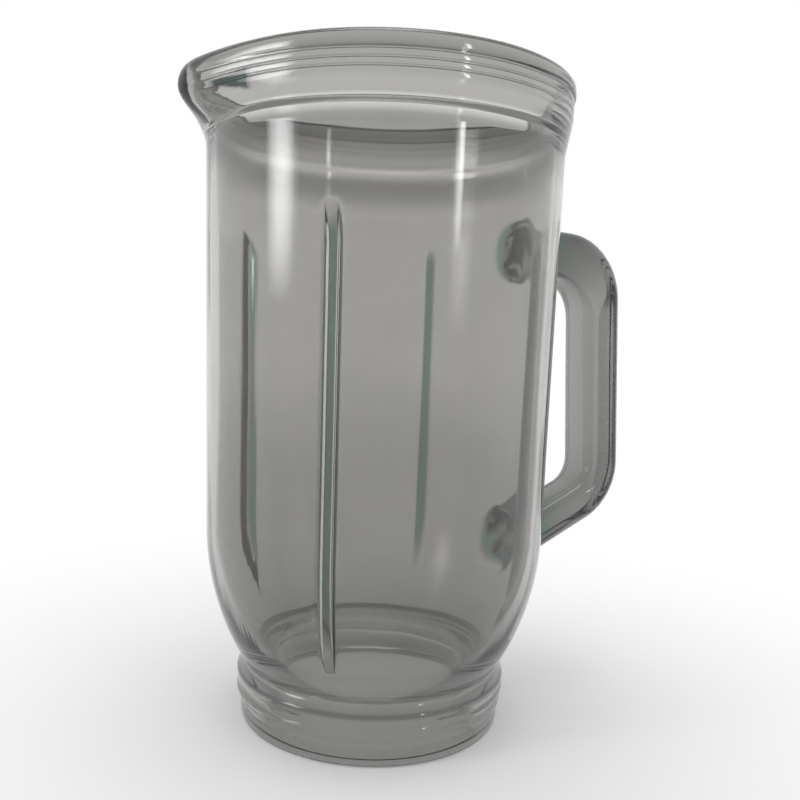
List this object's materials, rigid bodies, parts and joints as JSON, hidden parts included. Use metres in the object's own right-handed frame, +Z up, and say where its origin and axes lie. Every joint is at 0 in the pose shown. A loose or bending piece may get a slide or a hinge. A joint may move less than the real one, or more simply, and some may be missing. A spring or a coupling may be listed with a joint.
{
  "type": "blender jar",
  "caption": "Clear moulded glass blender jar with side handle, pouring spout, inner ribs and an open collared base for a blade unit.",
  "frame": {"origin": "on the jar's axis at the base, in the plane of the foot it stands on", "axes": "+Z up along the jar's axis, +X towards the handle, -X towards the spout"},
  "size_m": [0.1631, 0.117, 0.2015],
  "materials": {
    "jar_glass": "clear, slightly green, fire-polished"
  },
  "bodies": {
    "root": {"jar": "jar_glass"}
  },
  "joints": []
}
